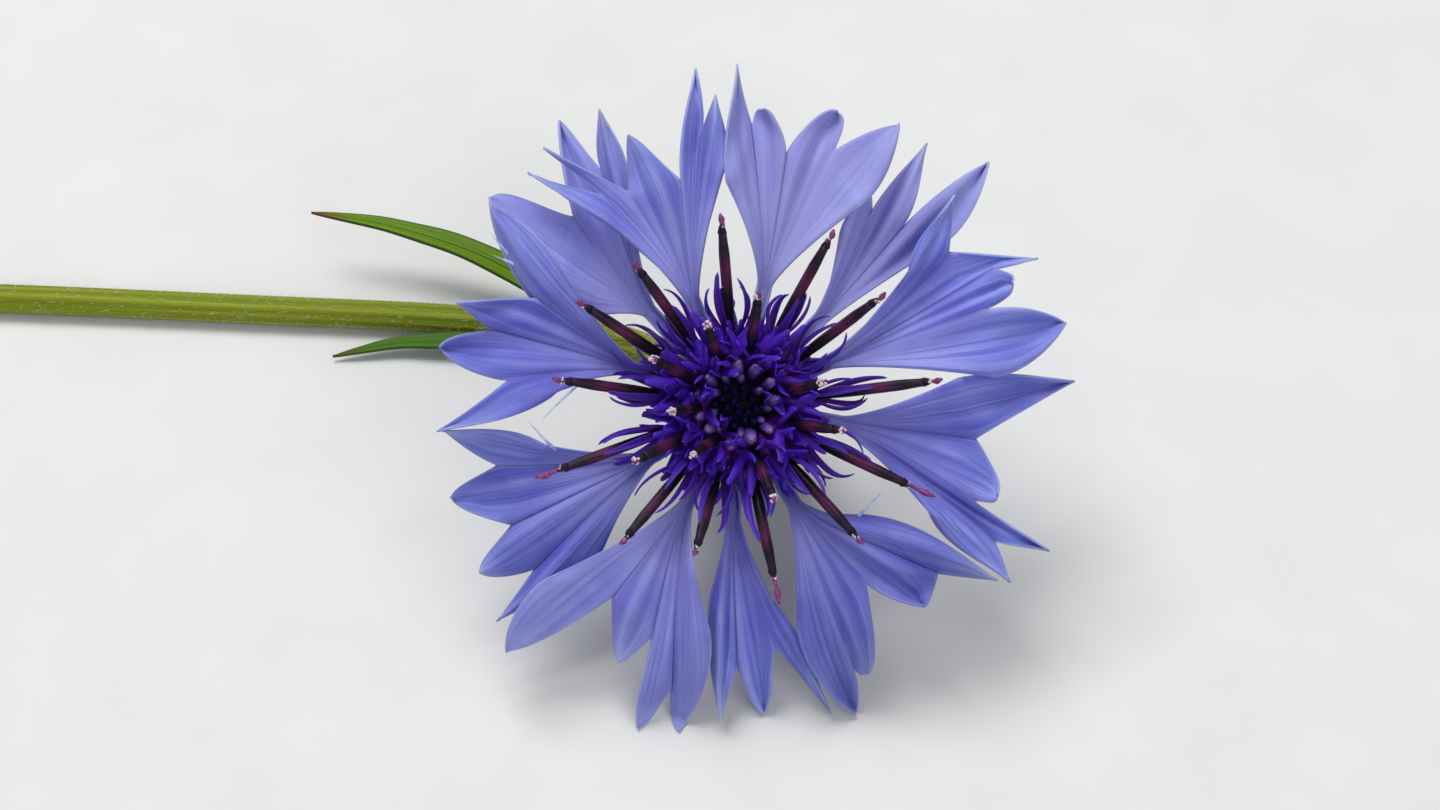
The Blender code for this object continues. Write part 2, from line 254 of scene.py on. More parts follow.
def finish_mesh(bm, name, surfaces, matrix, merge=0.004):
    """Merges the seams, turns the faces outwards, places the mesh and makes its object."""
    bmesh.ops.remove_doubles(bm, verts=bm.verts, dist=merge)
    bmesh.ops.recalc_face_normals(bm, faces=bm.faces)
    bmesh.ops.transform(bm, matrix=matrix, verts=bm.verts)
    mesh = bpy.data.meshes.new(name)
    bm.to_mesh(mesh)
    bm.free()
    mesh.shade_smooth()
    for surface in surfaces:
        mesh.materials.append(surface)
    made = bpy.data.objects.new(name, mesh)
    bpy.context.collection.objects.link(made)
    return made


def turned_piece(name, places, surface):
    """A round piece turned about the head's axis from the places on its outline."""
    bm = bmesh.new()
    outline = [bm.verts.new(place) for place in places]
    edges = [bm.edges.new(pair) for pair in zip(outline, outline[1:])]
    bmesh.ops.spin(bm, geom=outline + edges, cent=(0, 0, 0), axis=(0, 0, 1), angle=2 * pi,
                   steps=TURNED_SIDES, use_merge=True)
    return finish_mesh(bm, name, [surface], HEAD, merge=0.01)


def settle(made, slot, *nodes):
    """Puts a piece on the one body and hides the nodes it stands for."""
    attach(made, "root")
    if nodes:
        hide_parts(*nodes)


def add_shade(made, shade):
    """A value for the whole piece that its material reads."""
    layer = made.data.attributes.new("shade", "FLOAT", "POINT")
    layer.data.foreach_set("value", [shade] * len(made.data.vertices))


def add_wall(made, thickness):
    """Turns a sheet into a solid wall, half of it on each side."""
    wall = made.modifiers.new("wall", "SOLIDIFY")
    wall.thickness = thickness
    wall.offset = 0


# ---------------------------------------------------------------- materials

def add_node(tree, kind, settings=None, inputs=None, output=0):
    """Adds a node with its settings and its inputs (values or sockets), and gives its output."""
    made = tree.nodes.new(kind)
    for name, value in (settings or {}).items():
        setattr(made, name, value)
    for name, value in (inputs or {}).items():
        if isinstance(value, bpy.types.NodeSocket):
            tree.links.new(value, made.inputs[name])
        else:
            made.inputs[name].default_value = value
    return made.outputs[output]


def ramp(tree, at, *stops):
    """Colours or grey values at their positions, blended between them."""
    made = add_node(tree, "ShaderNodeValToRGB", inputs={0: at})
    elements = made.node.color_ramp.elements
    while len(elements) < len(stops):
        elements.new(1.0)
    for element, (position, value) in zip(elements, stops):
        element.position = position
        element.color = rgba(value)
    return made


def mix(tree, share, first, second):
    """Two colours mixed, with share saying how much there is of the second."""
    first, second = (one if isinstance(one, bpy.types.NodeSocket) else rgba(one)
                     for one in (first, second))
    return add_node(tree, "ShaderNodeMix", {"data_type": "RGBA"},
                    {0: share, 6: first, 7: second}, output=2)


def calculate(tree, operation, *values):
    """A sum on values or sockets."""
    return add_node(tree, "ShaderNodeMath", {"operation": operation}, dict(enumerate(values)))


def map_range(tree, value, low, high, start=0.0, end=1.0, kind="LINEAR"):
    """Turns a value that runs from low to high into one that runs from start to end."""
    return add_node(tree, "ShaderNodeMapRange", {"interpolation_type": kind},
                    {0: value, 1: low, 2: high, 3: start, 4: end})


def uv_parts(tree):
    """How far across and how far along its piece a point lies."""
    place = add_node(tree, "ShaderNodeTexCoord", output="UV")
    across = add_node(tree, "ShaderNodeSeparateXYZ", inputs={0: place})
    return across, across.node.outputs[1]


def streaks(tree, across, along, detail=2.0):
    """Soft streaks that follow the piece: noise stretched along its UV."""
    place = add_node(tree, "ShaderNodeTexCoord", output="UV")
    scaled = add_node(tree, "ShaderNodeMapping",
                      inputs={"Vector": place, "Scale": (across, along, 1.0)})
    return add_node(tree, "ShaderNodeTexNoise", {"noise_dimensions": "2D"},
                    {"Vector": scaled, "Scale": 1.0, "Detail": detail})


def grain(tree, count, detail=2.0):
    """Noise in the piece's own space, with about this many patches to a metre."""
    place = add_node(tree, "ShaderNodeTexCoord", output="Object")
    return add_node(tree, "ShaderNodeTexNoise",
                    inputs={"Vector": place, "Scale": count, "Detail": detail})


def own_shade(tree):
    """The value that add_shade gave to the piece."""
    return add_node(tree, "ShaderNodeAttribute", {"attribute_name": "shade"}, output="Fac")


def new_material(name, **sockets):
    """A material with one Principled shader, whose plain values are set on its own sockets."""
    made = bpy.data.materials.new(name)
    made.use_nodes = True
    shader = made.node_tree.nodes["Principled BSDF"]
    for socket, value in sockets.items():
        shader.inputs[socket.replace("_", " ")].default_value = value
    return made, made.node_tree


def finish_material(made, colour, relief, strength, depth_mm):
    """Gives a material's shader its colour and its fine relief."""
    tree = made.node_tree
    shader = tree.nodes["Principled BSDF"]
    bump = add_node(tree, "ShaderNodeBump", inputs={"Strength": strength, "Height": relief,
                                                    "Distance": depth_mm * MM})
    tree.links.new(colour, shader.inputs["Base Color"])
    tree.links.new(bump, shader.inputs["Normal"])
    return made


def ray_petal_material(colours):
    """Fresh petal: a thin sheet of cells with a velvety skin, so it is matt and lets light through.

    Soft pale and dark bands and fine darker veins run from the pale pinkish throat to the tips.
    """
    made, tree = new_material("Fresh ray petal", Roughness=0.6, Subsurface_Weight=0.3,
                              Subsurface_Scale=0.0006, Subsurface_Radius=(0.8, 0.7, 1.0),
                              Sheen_Weight=0.12, Sheen_Tint=rgba("#c9cdf4"),
                              Specular_IOR_Level=0.3)
    across, along = uv_parts(tree)
    # The tips are paler: partly their own colour, and partly painted light against the shade where
    # they droop towards the surface.
    blade = ramp(tree, along, (0.0, "#5c4a9a"), (0.22, "#8d86c4"), (0.34, "#9a9cdc"),
                 (0.58, colours.petal), (0.8, colours.petal_tip), (0.9, "#929fde"),
                 (1.0, "#b4c4ea"))
    # Bands about 0.8 mm wide where a lobe is 3 mm across, and veins about 0.15 mm wide.
    bands = ramp(tree, streaks(tree, 4.0, 1.3), (0.34, 0.0), (0.66, 1.0))
    veins = ramp(tree, streaks(tree, 19.0, 1.1), (0.30, 1.0), (0.46, 0.25), (0.6, 0.0))
    banded = mix(tree, bands, blade, mix(tree, 0.6, blade, "#a2a8ec"))
    # The lines between the lobes, where the pleats are sharpest, get painted shade, and further out
    # the lobes' rims are paler.
    aside = calculate(tree, "PINGPONG", across, 0.5)
    crease_shade = map_range(tree, aside, 0.0, 0.22, 0.3, 0.0, "SMOOTHSTEP")
    rim = map_range(tree, aside, 0.0, 0.07, 0.55, 0.0, "SMOOTHSTEP")
    pale_rim = calculate(tree, "MULTIPLY", rim, map_range(tree, along, 0.58, 0.66))
    # Veins, and the painted shade of the lines between the lobes, both in the vein colour.
    dark = calculate(tree, "MULTIPLY", calculate(tree, "MAXIMUM", veins, crease_shade), 0.5)
    rimmed = mix(tree, pale_rim, mix(tree, dark, banded, colours.vein_and_crease_shade), "#a8b4e8")
    # Soft darker blue patches 5 mm across: partly the sheet's own uneven tone, partly painted shade
    # of its broad undulations.
    blotch_and_shade = map_range(tree, grain(tree, 200.0), 0.4, 0.7, 0.0, 0.6)
    mixed = mix(tree, blotch_and_shade, rimmed, "#504fb2")
    # A floret's own shade is positive where it is darker than the others, negative where paler. It
    # is partly the floret's own tone, and partly painted shade and painted light on the whole
    # floret.
    shade = own_shade(tree)
    paler = mix(tree, calculate(tree, "MULTIPLY", shade, -1.0), mixed, "#a4a4d8")
    shaded = mix(tree, shade, paler, "#3e3c8e")
    # Real cells, about 0.05 mm across, would be too fine to see, so these are about 0.12 mm.
    relief = calculate(tree, "MULTIPLY_ADD", veins, -1.2, grain(tree, 8000.0, 1.0))
    return finish_material(made, shaded, relief, 0.4, 0.04)


def disc_petal_material(colours):
    """Fresh disc corolla: the same petal skin in ultramarine, with a magenta-purple tube."""
    made, tree = new_material("Fresh disc petal", Roughness=0.55, Subsurface_Weight=0.15,
                              Subsurface_Scale=0.0004, Specular_IOR_Level=0.3)
    across, along = uv_parts(tree)
    lobe = ramp(tree, along, (0.0, colours.disc_tube), (0.25, "#5612a8"), (0.55, colours.disc),
                (1.0, "#5c3ae6"))
    is_tube = calculate(tree, "GREATER_THAN", across, TUBE_UV - 0.5)
    purple = mix(tree, is_tube, lobe, colours.disc_tube)
    # Patches 1.5 mm across, where a lobe is more magenta.
    warm = map_range(tree, grain(tree, 650.0, 1.0), 0.45, 0.68, 0.0, 0.6)
    slate = mix(tree, own_shade(tree), mix(tree, warm, purple, "#66209a"), "#3c3a72")
    lines = streaks(tree, 5.0, 1.2)
    return finish_material(made, mix(tree, lines, "#3c0e90", slate), lines, 0.4, 0.04)


def anther_material(colours):
    """Anther column: five joined anthers, near black with a wine-red band towards the top, partly
    their own colour and partly painted sheen.
    """
    made, tree = new_material("Anther column", Roughness=0.5, Specular_IOR_Level=0.25)
    _, along = uv_parts(tree)
    flush_and_sheen = ramp(tree, along, (0.0, "#06020e"), (0.5, "#0e0518"), (0.72, colours.anther),
                   (0.88, "#14061c"), (1.0, "#3a1840"))
    lines = streaks(tree, 30.0, 3.0)
    mixed = mix(tree, map_range(tree, lines, 0.3, 0.6), "#0c0416", flush_and_sheen)
    return finish_material(made, mixed, lines, 0.5, 0.04)


def speckled_material(name, dark, light, grain_mm, **sockets):
    """A soft surface in two mixed tones, in grains of the given size."""
    made, tree = new_material(name, **sockets)
    grains = grain(tree, 1 / (grain_mm * MM))
    return finish_material(made, ramp(tree, grains, (0.35, dark), (0.65, light)), grains, 0.5, 0.04)


def bud_material(colours):
    """Closed buds: near-black blue at the foot, which is painted shade among the packed buds, and
    rosy mauve at the tip in the open ones.
    """
    made, tree = new_material("Closed disc bud", Roughness=0.7, Specular_IOR_Level=0.15)
    _, along = uv_parts(tree)
    rosy = ramp(tree, along, (0.0, "#1a1050"), (0.5, "#3c1c88"), (0.82, "#5c3c98"),
                (1.0, "#8e74a4"))
    # The dark buds' near-black blue is partly their own colour and partly painted shade of the
    # deep-set middle of the face.
    navy_and_shade = ramp(tree, along, (0.0, "#030210"), (0.85, colours.bud), (1.0, "#2a2078"))
    mixed = mix(tree, own_shade(tree), rosy, navy_and_shade)
    return finish_material(made, mixed, streaks(tree, 8.0, 2.0), 0.4, 0.04)


def green_material(name, base, pale, dark, across, grain_mm, **sockets):
    """Green plant skin: long pale streaks along it, darker patches, and a fine waxy grain."""
    made, tree = new_material(name, **sockets)
    lines = streaks(tree, across, 3.0, 3.0)
    streaky = ramp(tree, lines, (0.3, dark), (0.5, base), (0.72, pale))
    mixed = mix(tree, grain(tree, 260.0, 3.0), streaky, base)
    relief = calculate(tree, "MULTIPLY_ADD", lines, 2.0, grain(tree, 1 / (grain_mm * MM)))
    return finish_material(made, mixed, relief, 0.5, 0.05)


def leaf_material(colours):
    """Leaf blade: parallel veins, a dark groove at the midrib, a dark margin and a reddish tip."""
    made, tree = new_material("Narrow leaf", Roughness=0.6, Subsurface_Weight=0.15,
                              Subsurface_Scale=0.0005, Specular_IOR_Level=0.25)
    across, along = uv_parts(tree)
    lines = streaks(tree, 18.0, 2.0)
    veined = ramp(tree, lines, (0.35, "#4e7206"), (0.65, colours.leaf))
    aside = calculate(tree, "PINGPONG", across, 0.5)
    inside = ramp(tree, aside, (0.02, 0.0), (0.07, 1.0), (0.44, 1.0), (0.48, 0.2))
    red = mix(tree, map_range(tree, along, 0.86, 1.0), mix(tree, inside, "#2e4c06", veined),
              "#6e3524")
    deep = mix(tree, calculate(tree, "MULTIPLY", own_shade(tree), 0.6), red, "#2f5f1c")
    return finish_material(made, deep, lines, 0.5, 0.05)


# ---------------------------------------------------------------- ray florets

def height_above_surface(point):
    """How high a point of the head lies above the surface that the flower rests on."""
    return HEAD_HEIGHT + point.y * sin(radians(HEAD_LEAN)) + point.z * cos(radians(HEAD_LEAN))


def pressed_flat(point, wall):
    """Keeps a soft sheet on the surface where it would sink into it."""
    sunk = wall / 2 - height_above_surface(point)
    if sunk > 0:
        point.z += sunk / cos(radians(HEAD_LEAN))
    return point


def blade_height(point, throat_reach, lift):
    """A ray floret's blade climbs from its throat, arches over and droops towards the surface."""
    out = (point.xy.length - throat_reach) / (RAY_REACH - throat_reach)
    low = max(0.0, -point.y / RAY_REACH) ** 3
    apart = lift * min(1.0, 0.4 + out) * max(0.0, 1 - low)
    arch = LIMB_ARCH * sin(pi * min(out, 1.2) * 0.8)
    return apart + arch - THROAT_DROP - TIP_DROOP * low


class RayShape:
    """The surface of one ray floret: a tube, a trough that opens to a fan, and pointed lobes."""

    TUBE_RADIUS = 0.45
    TUBE_DROP = 0.4
    # Where the tube ends and the fan starts, and where the lobes part, along the floret.
    THROAT = 0.28
    NOTCH = 0.62
    # How fast the fan widens, and how gently its lines turn into the lobes.
    WIDENING = 1.25
    TURNING = 0.17
    EDGE_BOW = 0.17

    def __init__(self, outline, sizes, seed):
        self.throat, near_side, rim, far_side, self.lift, self.shade = outline
        self.tips = [polar(bearing, reach) for bearing, reach, _ in rim[0::2]]
        self.blunt = [max(place[2], 0.0) for place in rim[0::2]]
        self.slim = [max(-place[2], 0.0) for place in rim[0::2]]
        self.notches = [polar(*place) for place in (near_side, *rim[1::2], far_side)]
        self.middle = polar(*self.throat)
        self.root = polar(self.throat[0], RAY_ROOT_REACH, ROOT_HEIGHT)
        self.across = polar(self.throat[0] + 90, 1.0)
        if self.across.dot(self.notches[0] - self.notches[-1]) < 0:
            self.across.negate()
        self.fan_middle = (self.notches[0] + self.notches[-1]) / 2
        self.fan_middle = self.fan_middle.normalized() * (self.fan_middle.length + 0.8)
        self.pleat = sizes.pleat
        self.wall = sizes.petal_wall / MM
        random = Random(seed)
        self.curl = [random.uniform(-0.8, 1.4) * (1 - 0.7 * blunt) for blunt in self.blunt]
        self.fold = [random.uniform(-0.2, 0.3) for _ in self.tips]
        self.twist = [random.uniform(-0.9, 0.9) for _ in self.tips]
        self.bow = [[random.uniform(-0.02, 0.16) for _ in range(2)] for _ in self.tips]
        self.bow[0][0] = self.bow[-1][1] = self.EDGE_BOW
        self.draw = [random.uniform(-0.1, 0.3) for _ in self.tips]
        self.step = [random.uniform(-0.12, 0.12) for _ in self.tips]
        self.flutes = [random.uniform(1.6, 3.6) for _ in self.tips]
        self.valley = [random.uniform(-0.2, 0.9) for _ in self.notches]
        self.waves = [(random.uniform(1.2, 2.2), 0.45), (random.uniform(2.8, 4.4), 0.22)]
        self.ripple = random.uniform(0, 2 * pi)
        self.lean = random.uniform(-0.5, 0.5)

    def rolled(self, from_middle, opening):
        """Where a point goes when a flat strip is rolled: its share aside, and its rise."""
        narrow = sin(min(opening, pi / 2))
        return sin(from_middle * opening) / narrow, (1 - cos(from_middle * opening)) / narrow

    def tube(self, from_middle, along):
        """A point of the tube, which starts closed and opens towards the throat."""
        height = blade_height(self.middle, self.throat[1], self.lift)
        point = bezier((self.root, self.root.lerp(self.middle, 0.3) + Vector((0, 0, 1.6)),
                        self.middle + Vector((0, 0, height))), along)
        opening = pi * (1 - 0.44 * smooth(0.45, 1.0, along))
        aside, rise = self.rolled(from_middle, opening)
        up = Vector((0, 0, 1)).lerp(-polar(self.throat[0], 1.0), 0.5 * (1 - along)).normalized()
        return point + (self.across * aside + up * (rise - self.TUBE_DROP)) * self.TUBE_RADIUS

    def fan(self, lobe, part, along, from_middle):
        """A point of the fan, from the throat (along 0) to the line of the notches (1)."""
        target = self.notches[lobe].lerp(self.notches[lobe + 1], part)
        spread = along ** self.WIDENING
        start = self.across * from_middle * self.TUBE_RADIUS * (1 - spread)
        return (self.middle.lerp(self.fan_middle, along) + start
                + (target - self.fan_middle) * spread)

    def lobe_side(self, lobe, far, out):
        """A point of one side of a lobe: a bowed line from its notch (out 0) to its tip (1)."""
        notch, other = self.notches[lobe + far], self.notches[lobe + 1 - far]
        blunt, slim = self.blunt[lobe], self.slim[lobe]
        ahead = self.tips[lobe] - notch
        outward = Vector((ahead.y, -ahead.x, 0)).normalized()
        if outward.dot(notch - other) < 0:
            outward.negate()
        foot = (notch - other).length
        bowed = outward * ahead.length * self.bow[lobe][far] * (1 - slim)
        near = notch + ahead * 0.35 + bowed - outward * foot * 0.2 * slim
        far_on = notch + ahead * (0.7 + 0.27 * blunt) + bowed * self.draw[lobe]
        far_on += outward * foot * (0.3 * blunt - 0.03 * slim)
        return bezier((notch, near, far_on, self.tips[lobe]), out)

    def lobe(self, lobe, part, out):
        """A point of one lobe, and the lobe's width there as a share of its foot's."""
        near, far = self.lobe_side(lobe, 0, out), self.lobe_side(lobe, 1, out)
        foot = (self.notches[lobe] - self.notches[lobe + 1]).length
        return near.lerp(far, part), min((near - far).length / foot, 1.0)

    def plan(self, lobe, part, along):
        """A point of the blade past the throat, seen from above, and the lobe's width there."""
        inner = min((along - self.THROAT) / (self.NOTCH - self.THROAT), 1.0)
        if along > self.NOTCH:
            return self.lobe(lobe, part, (along - self.NOTCH) / (1 - self.NOTCH))
        return self.fan(lobe, part, inner, 1 - 2 * (lobe + part) / len(self.tips)), 1.0

    def at(self, lobe, part, along):
        """A point of the sheet: its lobe, how far across that lobe, and how far along it all."""
        share = (lobe + part) / len(self.tips)
        from_middle = 1 - 2 * share
        if along < self.THROAT:
            return self.tube(from_middle, along / self.THROAT)
        inner = min((along - self.THROAT) / (self.NOTCH - self.THROAT), 1.0)
        out = max((along - self.NOTCH) / (1 - self.NOTCH), 0.0)
        point, width = self.plan(lobe, part, along)
        # The lines of the sheet turn gently where the lobes part.
        reach = self.TURNING * sin(pi * part) * smooth(0.34, 0.52, along)
        reach *= 1 - smooth(0.78, 0.98, along)
        if reach > 0:
            before, _ = self.plan(lobe, part, along - reach)
            after, _ = self.plan(lobe, part, along + reach)
            point = point * 0.4 + before * 0.3 + after * 0.3
        # The widths here and at the notches, of one lobe and of the whole blade.
        spread = inner ** self.WIDENING
        lobe_width = (self.notches[lobe] - self.notches[lobe + 1]).length * spread * width
        blade = (self.notches[0] - self.notches[-1]).length / 2 * spread
        blade += self.TUBE_RADIUS * (1 - spread)
        height = blade_height(point, self.throat[1], self.lift)
        height -= self.TUBE_DROP * self.TUBE_RADIUS * (1 - spread)
        _, rise = self.rolled(from_middle, 1.35 * (1 - smooth(0.0, 0.9, inner)) + 0.38)
        height += rise * blade * (1 - 0.85 * out)
        height += self.lean * from_middle * spread
        # Flutes: a rounded ridge for each lobe, sharp valleys between, and finer ones on it.
        depth = self.valley[lobe] + (self.valley[lobe + 1] - self.valley[lobe]) * part
        fine = abs(sin(self.flutes[lobe] * pi * part + self.ripple)) * sin(pi * part)
        ridge = depth * (sin(pi * part) - 1) + 0.3 * fine
        height += self.pleat * lobe_width * ridge * (1 - 0.45 * out)
        height += self.fold[lobe] * lobe_width * (abs(part - 0.5) * 2 - 1) * smooth(0.0, 0.6, out)
        height += self.curl[lobe] * out ** 1.7
        height += self.step[lobe] * spread
        height += self.twist[lobe] * (part - 0.5) * lobe_width * 0.5 * sin(pi * out ** 0.8)
        for turns, depth in self.waves:
            height += depth * sin(self.ripple + 2 * pi * turns * share + 3 * along) * spread
        point.z = height
        return pressed_flat(point, self.wall)


def build_ray_floret(name, outline, sizes, surface, seed):
    """One ray floret: a sheet for each lobe, joined along their lines and given a wall."""
    shape = RayShape(outline, sizes, seed)
    bm = bmesh.new()
    for lobe in range(len(shape.tips)):
        shaped_grid(bm, sizes.lobe_steps, sizes.floret_steps,
                    lambda part, along, lobe=lobe: shape.at(lobe, part, along), uv_shift=lobe)
    made = finish_mesh(bm, name, [surface], HEAD, merge=0.01)
    add_shade(made, shape.shade)
    add_wall(made, sizes.petal_wall)
    return made


def build_rim_threads(sizes, surface):
    """Fine pale threads where the ray florets' rims have torn."""
    bm = bmesh.new()
    steps = 12
    for number, lobe, part, along, bearing, length in RIM_THREADS:
        rim = RayShape(RAY_FLORETS[number - 1], sizes, number).at(lobe, part, along)
        foot = rim - polar(bearing, 0.35, 0.05)
        tip = foot + polar(bearing, length + 0.35, 0.3)
        middle = foot + polar(bearing, length * 0.5, 0.6)
        rod(bm, [bezier((foot, middle, tip), step / steps) for step in range(steps + 1)],
            lambda along: 0.15 * smooth(-0.04, 0.2, along) * (1 - along) ** 1.2 + 0.012, 6)
    return finish_mesh(bm, "rim_threads", [surface], HEAD, merge=0.001)


# ---------------------------------------------------------------- disc florets

def disc_line(floret, root_reach, steps):
    """The middle line of a disc floret, from its root up and out to its tip."""
    bearing, reach, height, root_bearing = floret[:4]
    root = polar(root_bearing, root_reach, ROOT_HEIGHT)
    rise = root + Vector((0, 0, 3.2)) + polar(bearing, 0.6)
    tip = polar(bearing, reach, height)
    mouth = rise.lerp(tip, 0.4) + Vector((0, 0, 0.5))
    return [bezier((root, rise, mouth, tip), step / steps) for step in range(steps + 1)]


def corolla_lobe(bm, ring, turn, length, width, bow, curl, start=0.26):
    """One narrow lobe of a disc corolla: out of the mouth, and bowed away from the anthers."""
    point, ahead, side, up = ring
    aside = side * cos(turn) + up * sin(turn)
    square = ahead.cross(aside)

    def place(across, along):
        reach = start + bow * sin(pi * 0.72 * along) + curl * along ** 2.2
        middle = point + ahead * length * (along - 0.12 * along ** 3) + aside * reach
        half = width / 2 * (0.7 + 0.45 * sin(pi * min(along * 1.3, 1.0))) * (1 - along ** 8) ** 0.5
        offset = (across - 0.5) * 2
        return middle + square * offset * half + aside * (0.45 - offset * offset) * half * -0.7

    shaped_grid(bm, 4, 14, place)


def pollen(bm, middle, spread, size, count, random):
    """Grains of pollen that stick to the tip of the anther column."""
    for _ in range(count):
        place = Vector([random.gauss(0, 0.5) for _ in range(3)]) * spread
        speck = bmesh.ops.create_icosphere(bm, subdivisions=1,
                                           radius=size * random.uniform(0.7, 1.2))
        bmesh.ops.translate(bm, vec=middle + place, verts=speck["verts"])
        for face in {face for vert in speck["verts"] for face in vert.link_faces}:
            face.material_index = 2


def build_disc_floret(name, floret, outer, open_share, sizes, surfaces, seed):
    """One disc floret: tube, five lobes, anther column, pollen and style in one piece."""
    random = Random(seed)
    line = disc_line(floret, OUTER_ROOT_REACH if outer else INNER_ROOT_REACH, DISC_STEPS)
    mouth = round(DISC_STEPS * open_share)
    rings = stations(line)
    bm = bmesh.new()
    rod(bm, line[:mouth + 1], lambda along: 0.24 + 0.16 * along ** 3, 10, uv_shift=TUBE_UV)
    first = random.uniform(0, 2 * pi)
    for number in range(FIVEFOLD):
        turn = first + number * 2 * pi / FIVEFOLD + random.uniform(-0.3, 0.3)
        length = sizes.corolla_lobe / MM * random.uniform(0.75, 1.15) * (1.0 if outer else 0.62)
        width = random.uniform(0.34, 0.56) if outer else random.uniform(0.5, 0.85)
        bow = random.uniform(0.5, 1.5)
        curl = bow * random.uniform(-0.65, 0.3) if outer else random.uniform(0.2, 1.8)
        corolla_lobe(bm, rings[mouth - random.randrange(4)], turn, length, width, bow, curl)
    radius = sizes.column_radius / MM

    def swell(along):
        return radius * (0.86 + 0.2 * smooth(0.1, 0.5, along) - 0.3 * smooth(0.8, 1.0, along))

    rod(bm, line[mouth - 3:], swell, 20, 1, flutes=FIVEFOLD, flute_depth=0.07)
    point, ahead, side, up = rings[-1]
    # The five anthers end in points that lean together round the style.
    for number in range(FIVEFOLD):
        turn = number * 2 * pi / FIVEFOLD
        edge = point + (side * cos(turn) + up * sin(turn)) * radius * 0.5
        tip = point + (side * cos(turn) + up * sin(turn)) * radius * 0.12 + ahead * 0.7
        rod(bm, [edge.lerp(tip, step / 4) - ahead * 0.12 for step in range(5)],
            lambda along: radius * 0.46 * (1 - along ** 1.6) + 0.005, 6, 1)
    ahead_of_tip, size, count = (0.35, 0.05, 14) if outer else (0.55, 0.08, 22)
    pollen(bm, point + ahead * ahead_of_tip, 0.20, size, count, random)
    length = floret[4] + 0.55
    style = [point + ahead * length * step / 8 + up * 0.05 * sin(step) for step in range(9)]

    def style_radius(along):
        return 0.09 + 0.08 * smooth(0.5, 0.62, along) - 0.14 * smooth(0.75, 1.0, along)

    rod(bm, style, style_radius, 8, 3)
    made = finish_mesh(bm, name, surfaces, HEAD, merge=0.002)
    add_shade(made, random.uniform(0.25, 0.9) if outer else random.uniform(0.0, 0.12))
    add_wall(made, FINE_WALL * MM)
    return made


def build_young_florets(surface):
    """The crowd of younger florets between the buds and the open ones, only their lobes out."""
    random = Random(31)
    bm = bmesh.new()
    for reach, count, height, length in ((3.9, 17, 0.2, 2.7), (3.1, 12, 1.1, 2.1)):
        for number in range(count):
            bearing = 360 * number / count + random.uniform(-7, 7)
            foot = polar(bearing, reach * 0.62, ROOT_HEIGHT)
            mouth = polar(bearing, reach, height + random.uniform(-0.3, 0.3))
            bent = polar(bearing, reach * 0.75, mouth.z - 0.6)
            line = [bezier((foot, bent, mouth), step / 12) for step in range(13)]
            rod(bm, line, lambda along: 0.22 + 0.14 * along ** 3, 8, uv_shift=TUBE_UV)
            ring = stations(line)[-1]
            first = random.uniform(0, 2 * pi)
            for lobe in range(FIVEFOLD):
                turn = first + lobe * 2 * pi / FIVEFOLD + random.uniform(-0.3, 0.3)
                corolla_lobe(bm, ring, turn, length * random.uniform(0.7, 1.1),
                             random.uniform(0.5, 0.85), random.uniform(0.5, 1.2),
                             random.uniform(0.2, 1.6), 0.22)
    made = finish_mesh(bm, "young_disc_florets", [surface], HEAD, merge=0.002)
    add_shade(made, 0.0)
    add_wall(made, FINE_WALL * MM)
    return made


def closed_bud(bm, foot, tip, radius):
    """A slim closed bud, widest near its rounded tip."""
    steps = 10
    line = [foot.lerp(tip, step / steps) for step in range(steps + 1)]

    def swell(along):
        return radius * (0.55 + 0.45 * smooth(0.2, 0.75, along)) * sqrt(max(1 - along ** 6, 0.0001))

    rod(bm, line, swell, 15, flutes=FIVEFOLD, flute_depth=0.10)


def build_dark_buds(surface):
    """The youngest buds, packed in a spiral in the middle of the face."""
    random = Random(5)
    bm = bmesh.new()
    for number in range(19):
        reach = 0.37 * sqrt(number)
        height = 0.75 + 0.35 * reach + random.uniform(-0.12, 0.12)
        bearing = number * BUD_TURN
        closed_bud(bm, polar(bearing, reach * 0.7, -2.6), polar(bearing, reach, height),
                   random.uniform(0.2, 0.26))
    made = finish_mesh(bm, "dark_buds", [surface], HEAD, merge=0.002)
    add_shade(made, 1.0)
    return made


def build_rosy_buds(surface):
    """The ring of buds about to open, their tips rosy mauve."""
    random = Random(8)
    bm = bmesh.new()
    for ring, count, height, radius in ((1.95, 9, 1.9, 0.32), (2.6, 11, 3.2, 0.44)):
        for number in range(count):
            bearing = 360 * number / count + random.uniform(-9, 9)
            top = polar(bearing, ring + random.uniform(-0.25, 0.25),
                        height + random.uniform(-0.6, 0.4))
            closed_bud(bm, polar(bearing, ring * 0.6, -2.4), top,
                       radius * random.uniform(0.85, 1.1))
    made = finish_mesh(bm, "rosy_buds", [surface], HEAD, merge=0.002)
    add_shade(made, 0.0)
    return made


def build_receptacle(surface):
    """The dark floor that the disc florets stand in, inside the bract cup's lip. Its darkness is
    painted shade of the deep gaps between the florets.
    """
    return turned_piece("receptacle", ((0, 0, -0.9), (1.4, 0, -1.0), (2.6, 0, -1.6),
                                       (3.4, 0, -2.6), (3.6, 0, -3.5), (0, 0, -3.6)), surface)


# ---------------------------------------------------------------- bracts, stem and leaves

def cup_point(height_share, bearing, out=0.0):
    """A point of the cup's outer wall, a share of the way up it."""
    radius, height = through([(*place, 0) for place in CUP_OUTLINE], height_share).xy
    return polar(bearing, radius + out, height)


def build_cup(surface):
    """The body of the bract cup, turned from its outline."""
    steps = 18
    wall = [cup_point(step / steps, 0) for step in range(steps + 1)]
    foot, lip = Vector((0, 0, wall[0].z)), Vector((0, 0, wall[-1].z))
    return turned_piece("bract_cup_body", (foot, *wall, lip), surface)


